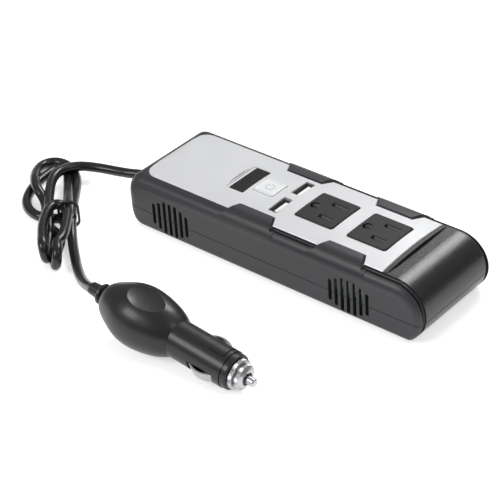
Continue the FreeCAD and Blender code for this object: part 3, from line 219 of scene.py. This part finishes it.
def make_materials():
    """Every material of the object, by a short key."""
    glossy = {"Coat_Weight": 0.20, "Coat_Roughness": 0.16, "Specular_IOR_Level": 0.38}
    return {
        "shell": shell_material(),
        "armour": surface("armour_plastic", (0.027, 0.028, 0.031), 0.40,
                          grain=2600, depth=0.22, mottle=0.07),
        "silver": surface("face_silver", (0.72, 0.725, 0.74), 0.36, metallic=0.25,
                          grain=3800, depth=0.10, mottle=0.02),
        "socket": surface("socket_plastic", (0.0095, 0.010, 0.0105), 0.48, grain=3000, depth=0.18,
                          mottle=0.08, sockets={"Specular_IOR_Level": 0.35}),
        "button": surface("button_plastic", (0.80, 0.81, 0.82), 0.34, metallic=0.1,
                          grain=3200, depth=0.10, mottle=0.03),
        "window": window_material(),
        "display": surface("display_glass", (0.03, 0.045, 0.035), 0.15, grain=500, depth=0.02),
        "steel": surface("port_steel", (0.13, 0.13, 0.134), 0.45, metallic=0.3,
                         grain=1800, depth=0.08, mottle=0.1),
        "port": surface("port_plastic", (0.92, 0.92, 0.91), 0.38, grain=2400, depth=0.06, mottle=0.03),
        "brass": surface("contact_brass", (0.72, 0.50, 0.20), 0.28, metallic=1.0,
                         grain=1200, depth=0.08, mottle=0.12),
        "board": surface("board_laminate", (0.018, 0.11, 0.045), 0.36, grain=900, depth=0.15, mottle=0.2),
        "ferrite": surface("ferrite", (0.05, 0.05, 0.055), 0.65, grain=1500, depth=0.3, mottle=0.15),
        "copper": surface("winding_copper", (0.55, 0.22, 0.09), 0.30, metallic=0.9, grain=700, depth=0.35,
                          stretch=(0.2, 0.2, 4.0)),
        "can": surface("can_aluminium", (0.10, 0.11, 0.20), 0.35, grain=800, depth=0.08),
        "sink": surface("sink_aluminium", (0.70, 0.70, 0.72), 0.38, metallic=1.0, grain=900, depth=0.2,
                        stretch=(0.1, 1.0, 3.0)),
        "chip": surface("chip_plastic", (0.02, 0.02, 0.02), 0.55, grain=1800, depth=0.25),
        "fan": surface("fan_plastic", (0.016, 0.016, 0.017), 0.5, grain=1500, depth=0.2),
        "screw": surface("screw_steel", (0.42, 0.42, 0.44), 0.30, metallic=1.0,
                         grain=1500, depth=0.12, mottle=0.1),
        "rubber": surface("foot_rubber", (0.02, 0.02, 0.02), 0.75, grain=1800, depth=0.4),
        "cord": surface("cord_pvc", (0.0085, 0.0085, 0.0095), 0.30, grain=1500, depth=0.10, mottle=0.1,
                        rough=0.05, sockets=glossy),
        "plug": surface("plug_plastic", (0.0080, 0.0080, 0.0090), 0.40, grain=2200, depth=0.12, mottle=0.1,
                        sockets=glossy),
        "chrome": surface("chrome_plate", (0.50, 0.50, 0.515), 0.30, metallic=1.0,
                          grain=1600, depth=0.12, mottle=0.12),
        "leaf": surface("contact_leaf", (0.32, 0.32, 0.32), 0.45, metallic=0.3,
                        grain=1800, depth=0.1, mottle=0.1),
        "gold": surface("contact_gold", (0.80, 0.58, 0.22), 0.25, metallic=1.0,
                        grain=1400, depth=0.05, mottle=0.05),
        "bush": surface("bush_plastic", (0.02, 0.02, 0.02), 0.55, grain=1500, depth=0.2),
        "fuse": surface("fuse_glass", (0.7, 0.72, 0.72), 0.12, grain=400, depth=0.02),
        "mark": surface("moulded_mark", (0.40, 0.41, 0.42), 0.4, grain=2500, depth=0.1),
        # Near-black paint for shade, used by the painted shadows in the window step and the socket gaps.
        "line": surface("gap_shadow", (0.006, 0.006, 0.006), 0.7, grain=2500, depth=0.1),
    }


MAT = make_materials()
SLOT_MATERIAL = {
    "shell_plastic": "shell", "armour_plastic": "armour", "face_silver": "silver", "socket_plastic": "socket",
    "button_plastic": "button", "smoked_window": "window", "display_glass": "display", "port_steel": "steel",
    "port_plastic": "port", "contact_brass": "brass", "board_laminate": "board", "ferrite": "ferrite",
    "winding_copper": "copper", "can_aluminium": "can", "sink_aluminium": "sink", "chip_plastic": "chip",
    "fan_plastic": "fan", "screw_steel": "screw", "foot_rubber": "rubber", "cord_pvc": "cord",
    "plug_plastic": "plug", "chrome_plate": "chrome", "bush_plastic": "bush", "fuse_glass": "fuse",
}


def dress_frame():
    """Give every CAD node the procedural material of its slot."""
    for part in frame["record"]["subparts"]:
        node = frame["nodes"][part["node"]]
        material = MAT[SLOT_MATERIAL[part["material_slot"]]]
        if not node.material_slots:
            node.data.materials.append(material)
        for place in node.material_slots:
            place.material = material


# ---------------------------------------------------------------- camera, floor and light
CAMERA_TARGET = (-6.9, -36.3, 20.2)
CAMERA_DISTANCE = 976.3
AZIMUTH, ELEVATION, ROLL = 41.92, 34.35, -3.66
LENS, SENSOR = 131.42, 36.0
FLOOR_SIZE, FLOOR_GAP = 6.0, 0.0002
LAMP_TARGET = (0.0, -0.03, 0.02)


def view_axes(azimuth, elevation, roll=0.0):
    """Right, up and back directions of a camera that looks from an azimuth and elevation."""
    a, e, r = (math.radians(d) for d in (azimuth, elevation, roll))
    back = Vector((math.sin(a) * math.cos(e), -math.cos(a) * math.cos(e), math.sin(e)))
    right = Vector((math.cos(a), math.sin(a), 0.0))
    up = back.cross(right)
    return right * math.cos(r) + up * math.sin(r), up * math.cos(r) - right * math.sin(r), back


def place_towards(obj, position, axes):
    """Put an object somewhere with its own axes along right, up and back."""
    right, up, back = axes
    matrix = Matrix((right, up, back)).transposed().to_4x4()
    matrix.translation = position
    obj.matrix_world = matrix


def add_camera():
    """Camera at the reference view."""
    data = bpy.data.cameras.new("view")
    data.lens, data.sensor_width = LENS, SENSOR
    data.clip_start, data.clip_end = 0.05, 20.0
    camera = bpy.data.objects.new("view", data)
    bpy.context.scene.collection.objects.link(camera)
    axes = view_axes(AZIMUTH, ELEVATION, ROLL)
    place_towards(camera, (Vector(CAMERA_TARGET) + axes[2] * CAMERA_DISTANCE) * MM, axes)
    bpy.context.scene.camera = camera


def add_floor():
    """Plain pale floor just under the feet."""
    bm = bmesh.new()
    bmesh.ops.create_grid(bm, x_segments=8, y_segments=8, size=FLOOR_SIZE)
    mesh = bpy.data.meshes.new("floor")
    bm.to_mesh(mesh)
    bm.free()
    floor = bpy.data.objects.new("floor", mesh)
    floor.location.z = -FLOOR_GAP
    bpy.context.scene.collection.objects.link(floor)
    paper = {"Emission_Color": (1.0, 1.0, 1.0, 1.0), "Emission_Strength": 0.55, "Specular_IOR_Level": 0.0}
    floor_finish = surface("paper_floor", (0.9, 0.9, 0.9), 0.9, grain=200, mottle=0.005, sockets=paper)
    mesh.materials.append(floor_finish)


def add_area(name, azimuth, elevation, distance, size, power):
    """Soft rectangular lamp that looks at the middle of the scene."""
    data = bpy.data.lights.new(name, "AREA")
    data.shape = "RECTANGLE"
    data.size, data.size_y = size
    data.energy = power
    lamp = bpy.data.objects.new(name, data)
    bpy.context.scene.collection.objects.link(lamp)
    axes = view_axes(azimuth, elevation)
    place_towards(lamp, Vector(LAMP_TARGET) + axes[2] * distance, axes)


def add_world():
    """Soft room light, bright overhead and dim near the horizon."""
    world = bpy.data.worlds.new("studio")
    bpy.context.scene.world = world
    world.use_nodes = True
    sky = world.node_tree.nodes["Background"]
    sky.inputs["Strength"].default_value = 1.0
    place = world.node_tree.nodes.new("ShaderNodeTexCoord")
    split = world.node_tree.nodes.new("ShaderNodeSeparateXYZ")
    ramp = world.node_tree.nodes.new("ShaderNodeValToRGB")
    stops = ((0.0, 0.10), (0.22, 0.16), (0.5, 0.40), (1.0, 0.50))
    for _ in stops[2:]:
        ramp.color_ramp.elements.new(0.5)
    for stop, (height, level) in zip(ramp.color_ramp.elements, stops):
        stop.position = height
        stop.color = (level, level, level, 1.0)
    links = world.node_tree.links
    links.new(place.outputs["Generated"], split.inputs["Vector"])
    links.new(split.outputs["Z"], ramp.inputs["Fac"])
    links.new(ramp.outputs["Color"], sky.inputs["Color"])


def add_light():
    """Room light and three soft lamps."""
    add_world()
    add_area("back_soft", 190.0, 45.0, 1.3, (0.55, 0.50), 9.5)
    add_area("left_soft", -26.0, 36.0, 1.3, (0.50, 0.46), 6.0)
    add_area("right_fill", 95.0, 50.0, 1.4, (0.60, 0.40), 2.0)
    bpy.context.scene.view_settings.view_transform = "Standard"


# ---------------------------------------------------------------- details of the face
BLADE_DX, BLADE_SPACING = 3.6, 12.7
SLOT_LENGTHS = (9.2, 7.8)
SLOT_HALF_WIDTH = 1.15
GROUND_OFFSET, GROUND_R = 11.9, 2.8
LEAF_T, LEAF_GAP, LEAF_END_GAP = 0.3, 0.02, 0.3
LEAF_BOTTOM, LEAF_TOP = 4.6, 0.95     # depths under the socket's top
CROWN_R = 213.6                       # the face plate's crown
PIN_PITCH, PIN_HALF_WIDTH = 2.2, 0.5
PIN_BOTTOM, PIN_TOP = 7.0, 0.7        # depths under the tongue's top
PIN_FACE, PIN_SHIFT = 2.35, 0.6       # from the tongue's +x side to the face with the pins; off its middle
PIN_SUNK, PIN_PROUD = 0.12, 0.1
BUTTON_HALF, BUTTON_CORNER = 5.55, 0.8
RIM_R, RIM_SUNK = 0.22, 0.05
MARK_R, MARK_ARC = 2.5, (125, 415)    # the mark's ring, open at the top for its bar
MARK_BAR = (0.9, 1.7, 2.5, 3.2)       # places along the bar, from the button's middle
MARK_ROD, MARK_SUNK = 0.2, 0.02
# The step line is painted shadow: a near-black strip where the face plate's step beside the window is in shade.
STEP_OFFSET, STEP_HALF = 2.75, 8.6    # the step line's distance from the window, and its half length
STEP_THIN, STEP_SWELL = 0.04, 0.24    # half width at its ends, and what the middle adds
STEP_SUNK, STEP_PROUD, STEP_PARTS = 0.2, 0.05, 12
# The socket gap sizes are for painted shadow: a near-black tube round each socket face.
SOCKET_CORNER, SOCKET_GAP_SHADOW_R, SOCKET_GAP_SHADOW_SUNK = 1.8, 0.26, 0.06


def box_mm(node):
    """Lowest and highest corner of a CAD node, in millimetres."""
    return [[c / MM for c in corner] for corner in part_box(node)]


def crown_height(y):
    """Height of the face plate's crowned surface at y, in millimetres."""
    return box_mm("face_plate")[1][2] - y * y / (2 * CROWN_R)


def sweep(bm, path, radius, closed=False, sides=8):
    """Round rod along a path of points in millimetres that stays level or nearly so."""
    points = [Vector(p) for p in path]
    count = len(points)
    rings = []
    for i, point in enumerate(points):
        before = points[i - 1] if closed or i else point
        after = points[(i + 1) % count] if closed or i + 1 < count else point
        ahead = (after - before).normalized()
        side = ahead.cross(Vector((0.0, 0.0, 1.0))).normalized()
        rise = side.cross(ahead)
        ring = []
        for k in range(sides):
            turn = 2 * math.pi * k / sides
            out = side * math.cos(turn) + rise * math.sin(turn)
            ring.append(bm.verts.new((point + out * radius) * MM))
        rings.append(ring)
    if not closed:
        skin(bm, rings)
        return
    for i in range(count):
        a, b = rings[i], rings[(i + 1) % count]
        for k in range(sides):
            bm.faces.new((a[k], a[(k + 1) % sides], b[(k + 1) % sides], b[k]))


def arc_points(cx, cy, z, radius, start, end, steps):
    """Points of a level arc between two angles in degrees."""
    angles = [math.radians(start + (end - start) * i / steps) for i in range(steps + 1)]
    return [(cx + radius * math.cos(t), cy + radius * math.sin(t), z) for t in angles]


def wall_arc(bm, cx, cy, z0, z1, outer, thickness, start, end, steps=16):
    """Upright curved strip round (cx, cy), closed on all sides."""
    rings = []
    for x, y, _ in arc_points(0.0, 0.0, 0.0, 1.0, start, end, steps):
        section = ((outer, z0), (outer, z1), (outer - thickness, z1), (outer - thickness, z0))
        rings.append([bm.verts.new(Vector((cx + x * r, cy + y * r, z)) * MM) for r, z in section])
    skin(bm, rings)
    bmesh.ops.recalc_face_normals(bm, faces=bm.faces)


def rounded_outline(cx, cy, half_x, half_y, corner, steps):
    """(x, y) points anticlockwise round a rectangle with rounded corners, from its +x side."""
    outline = []
    for turn, (sx, sy) in enumerate(((1, 1), (-1, 1), (-1, -1), (1, -1))):
        middle = (cx + sx * (half_x - corner), cy + sy * (half_y - corner))
        outline += [(x, y) for x, y, _ in arc_points(*middle, 0.0, corner, 90 * turn, 90 * turn + 90, steps)]
    return outline


def socket_leaves(number):
    """Metal leaves of one socket that show inside its slots and its earth hole."""
    low, high = box_mm("outlet_insert_%d" % number)
    blades_x = (low[0] + high[0]) / 2 + BLADE_DX
    bottom, top = high[2] - LEAF_BOTTOM, high[2] - LEAF_TOP
    bm = bmesh.new()
    for side, length in zip((1, -1), SLOT_LENGTHS):
        wall = side * BLADE_SPACING / 2 + SLOT_HALF_WIDTH
        half = length / 2 - LEAF_END_GAP
        box_span(bm, (blades_x - half, wall - LEAF_T, bottom), (blades_x + half, wall - LEAF_GAP, top))
    wall_arc(bm, blades_x - GROUND_OFFSET, 0.0, bottom, top, GROUND_R - LEAF_GAP, LEAF_T, 20, 160)
    mesh_piece("socket_leaves_%d" % number, bm, MAT["leaf"])


def port_pins(number):
    """Four gold contact strips on the tongue of one USB port."""
    low, high = box_mm("usb_tongue_%d" % number)
    middle_y = (low[1] + high[1]) / 2 - PIN_SHIFT
    face_x = high[0] - PIN_FACE
    bm = bmesh.new()
    for k in range(4):
        y = middle_y + (k - 1.5) * PIN_PITCH
        back = (face_x - PIN_SUNK, y - PIN_HALF_WIDTH, high[2] - PIN_BOTTOM)
        front = (face_x + PIN_PROUD, y + PIN_HALF_WIDTH, high[2] - PIN_TOP)
        box_span(bm, back, front)
    mesh_piece("port_pins_%d" % number, bm, MAT["gold"])


def button_icon():
    """Raised rim of the power button and its ring-and-bar mark."""
    low, high = box_mm("power_button")
    cx, cy = (low[0] + high[0]) / 2, (low[1] + high[1]) / 2
    top = high[2]
    outline = rounded_outline(cx, cy, BUTTON_HALF, BUTTON_HALF, BUTTON_CORNER, 4)
    bm = bmesh.new()
    sweep(bm, [(x, y, top - RIM_SUNK) for x, y in outline], RIM_R, closed=True)
    mesh_piece("button_rim", bm, MAT["button"], body="button")
    bm = bmesh.new()
    sweep(bm, arc_points(cx, cy, top - MARK_SUNK, MARK_R, *MARK_ARC, 30), MARK_ROD)
    sweep(bm, [(cx, cy + y, top - MARK_SUNK) for y in MARK_BAR], MARK_ROD)
    mesh_piece("button_mark", bm, MAT["mark"], body="button")


def window_step_shadow():
    """Painted shadow: a near-black strip in the face plate's step beside the display window, with pointed ends."""
    low, high = box_mm("display_window")
    x, middle = low[0] - STEP_OFFSET, (low[1] + high[1]) / 2
    bm = bmesh.new()
    rings = []
    for i in range(STEP_PARTS + 1):
        u = i / STEP_PARTS * 2 - 1
        y = middle + u * STEP_HALF
        width = STEP_THIN + STEP_SWELL * (1 - u * u)
        z = crown_height(y)
        section = ((-width, -STEP_SUNK), (-width, STEP_PROUD), (width, STEP_PROUD), (width, -STEP_SUNK))
        rings.append([bm.verts.new(Vector((x + dx, y, z + dz)) * MM) for dx, dz in section])
    skin(bm, rings)
    bmesh.ops.recalc_face_normals(bm, faces=bm.faces)
    mesh_piece("window_step_shadow", bm, MAT["line"])


def socket_gap_shadow(number):
    """Painted shadow: a near-black tube in the shaded gap between a socket face and the plate."""
    low, high = box_mm("outlet_insert_%d" % number)
    cx, cy = (low[0] + high[0]) / 2, (low[1] + high[1]) / 2
    half_x, half_y = (high[0] - low[0]) / 2, (high[1] - low[1]) / 2
    outline = rounded_outline(cx, cy, half_x, half_y, SOCKET_CORNER, 5)
    bm = bmesh.new()
    sweep(bm, [(x, y, crown_height(y) - SOCKET_GAP_SHADOW_SUNK) for x, y in outline], SOCKET_GAP_SHADOW_R, closed=True)
    mesh_piece("socket_gap_%d" % number, bm, MAT["line"])


def add_face_details():
    """Everything small that the face carries on top of the CAD nodes."""
    for number in (1, 2):
        socket_leaves(number)
        socket_gap_shadow(number)
        port_pins(number)
    button_icon()
    window_step_shadow()


# ---------------------------------------------------------------- the plug's nut
NUT_ANCHOR_S = 93.4          # station of the nut's turning joint along the plug
NUT_RING_S = 91.6            # front of the nose ring
NUT_BORE_R = 3.62
THREAD_BACK, THREAD_PITCH, THREAD_TURNS = -6.2, 1.0, 6     # long enough to stay in the nose at full travel
THREAD_ROOT_R, THREAD_CREST_R = 5.5, 5.85
NUT_HEAD = (
    (0.05, THREAD_ROOT_R), (0.05, 7.9), (0.45, 8.3), (2.3, 8.3), (2.7, 7.9), (2.7, 5.9), (3.4, 5.9),
    (3.4, 6.5), (3.8, 6.9), (5.4, 6.9), (5.9, 6.4), (6.9, 4.8), (6.9, NUT_BORE_R),
)
KNURL_FROM, KNURL_DEPTH, NUT_SIDES = 6.3, 0.22, 96     # radius from which the nut is knurled


def nut_profile():
    """Half section of the nut as (station, radius): threaded shank, then the stepped head."""
    shank = [(THREAD_BACK, NUT_BORE_R), (THREAD_BACK, THREAD_ROOT_R)]
    for turn in range(THREAD_TURNS):
        station = THREAD_BACK + 0.2 + turn * THREAD_PITCH
        shank += [(station, THREAD_ROOT_R), (station + 0.4, THREAD_CREST_R), (station + 0.8, THREAD_ROOT_R)]
    return shank + list(NUT_HEAD)


def plug_nut():
    """Turned and knurled nut on the plug's own axis; it rides on the turning body."""
    profile = nut_profile()
    joint = next(j for j in frame["joints"] if j["name"] == "cap_turn")
    axis = Vector(joint["axis"]).normalized()
    anchor = Vector(joint["pos_m"])
    side = axis.cross(Vector((0.0, 1.0, 0.0))).normalized()
    rise = side.cross(axis)
    bm = bmesh.new()
    rings = []
    for i in range(NUT_SIDES):
        turn = 2 * math.pi * i / NUT_SIDES
        out = side * math.cos(turn) + rise * math.sin(turn)
        ring = []
        for station, radius in profile:
            if radius > KNURL_FROM and i % 2:
                radius -= KNURL_DEPTH
            along = (NUT_RING_S + station - NUT_ANCHOR_S) * MM
            ring.append(bm.verts.new(anchor + axis * along + out * radius * MM))
        rings.append(ring)
    count = len(profile)
    for i, ring in enumerate(rings):
        following = rings[(i + 1) % NUT_SIDES]
        for k in range(count):
            bm.faces.new((ring[k], ring[(k + 1) % count], following[(k + 1) % count], following[k]))
    bmesh.ops.recalc_face_normals(bm, faces=bm.faces)
    nut = mesh_piece("plug_nut_knurled", bm, MAT["chrome"], body="nut", smooth=25)
    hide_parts("plug_nut")
    return nut


# ---------------------------------------------------------------- the supply cord
# Control points of the cord's middle line, in millimetres. Most were worked out by a scratch program from
# places read off the photograph, and those at the three folds by a formula in it, not chosen by hand:
# report.md says so under "A rule not kept".
CORD_POINTS = (
    (-112.5, 0.0, 8.8), (-119.0, 0.0, 8.8), (-126.5, -3.1, 8.2), (-136.3, -4.8, 7.2), (-146.1, -7.3, 7.0),
    (-152.9, -10.5, 7.4), (-157.8, -14.3, 8.0), (-160.6, -18.4, 8.4), (-162.3, -23.0, 8.6),
    (-162.5, -27.9, 8.6), (-160.9, -33.1, 8.4), (-156.8, -39.2, 8.4), (-151.2, -45.7, 8.4),
    (-144.9, -52.7, 8.2), (-137.9, -59.8, 7.8), (-131.2, -66.0, 7.6), (-126.6, -70.6, 6.4),
    (-123.7, -74.3, 3.8), (-115.1, -84.0, 2.9), (-109.7, -89.6, 3.0), (-107.9, -92.2, 6.1),
    (-108.3, -92.6, 10.6), (-110.9, -90.7, 13.8), (-116.4, -85.3, 13.8), (-121.6, -80.2, 13.6),
    (-126.6, -74.3, 13.2), (-131.0, -68.5, 12.7), (-134.4, -62.6, 12.4), (-135.7, -57.8, 12.2),
    (-132.8, -55.1, 12.3), (-130.6, -53.4, 9.5), (-130.5, -53.5, 5.7), (-132.4, -55.5, 2.9),
    (-135.3, -58.2, 2.9), (-142.9, -61.9, 3.2), (-148.7, -61.8, 3.0), (-155.3, -59.8, 3.0),
    (-161.6, -55.4, 3.0), (-166.1, -49.4, 3.0), (-169.8, -41.9, 3.0), (-172.3, -34.0, 3.0),
    (-173.0, -26.7, 3.0), (-173.5, -19.1, 3.0), (-169.9, -16.6, 3.0), (-165.1, -17.2, 3.0),
    (-159.7, -22.5, 3.2), (-152.0, -30.0, 5.0), (-141.9, -39.9, 8.4), (-130.8, -50.6, 12.4),
    (-123.6, -57.7, 13.8), (-117.3, -64.7, 13.6), (-111.1, -72.7, 13.6), (-105.9, -80.1, 13.7),
    (-105.2, -84.7, 13.8), (-99.7, -90.2, 13.8), (-98.0, -92.9, 10.6), (-98.5, -93.5, 6.1),
    (-101.4, -91.9, 3.0), (-107.1, -86.7, 2.9), (-115.2, -73.5, 3.0), (-119.3, -70.3, 3.0),
    (-124.2, -68.3, 3.0), (-129.0, -67.6, 3.6), (-134.5, -64.7, 4.6), (-141.2, -59.1, 4.8),
    (-148.0, -52.5, 4.2), (-154.2, -48.3, 4.8), (-158.2, -47.2, 7.0), (-162.5, -45.4, 8.3),
    (-168.2, -41.2, 8.1), (-175.7, -33.8, 6.0), (-181.4, -25.9, 3.8), (-182.9, -20.1, 3.0),
    (-181.5, -16.1, 3.0), (-178.7, -13.4, 3.0), (-174.3, -12.1, 3.0), (-168.2, -12.6, 3.0),
    (-161.0, -15.6, 3.0), (-153.7, -21.3, 3.0), (-146.9, -28.9, 3.2), (-139.6, -37.3, 4.8),
    (-132.0, -46.1, 6.8), (-125.5, -53.5, 7.8), (-120.6, -59.0, 7.2), (-117.1, -62.8, 5.2),
    (-112.4, -67.3, 3.4), (-103.7, -75.0, 3.0), (-94.4, -82.7, 3.0), (-89.2, -86.9, 3.6),
    (-79.0, -94.4, 6.0), (-69.3, -100.7, 9.7), (-60.3, -106.0, 14.3), (-52.3, -110.3, 18.6),
    (-44.0, -112.0, 20.2),
)
CORD_D = 5.8


def nurbs(name, points, radius, material):
    """Round tube along one smooth curve through control points in millimetres."""
    curve = bpy.data.curves.new(name, "CURVE")
    curve.dimensions = "3D"
    spline = curve.splines.new("NURBS")
    spline.points.add(len(points) - 1)
    for place, point in zip(spline.points, mm(points)):
        place.co = (*point, 1.0)
    spline.order_u = 3
    spline.use_endpoint_u = True
    spline.resolution_u = 8
    curve.bevel_depth = radius * MM
    curve.bevel_resolution = 5
    curve.use_fill_caps = True
    curve.materials.append(material)
    piece = bpy.data.objects.new(name, curve)
    bpy.context.scene.collection.objects.link(piece)
    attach(piece, "case")
    return piece


def add_cord(nut):
    """The supply cord as one round tube, in place of the CAD cord nodes, which it hides."""
    cord = nurbs("supply_cord", CORD_POINTS, CORD_D / 2, MAT["cord"])
    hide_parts("cord_lead", "cord_hank", "cord_tail")


add_camera()
add_floor()
add_light()
dress_frame()
add_face_details()
add_cord(plug_nut())
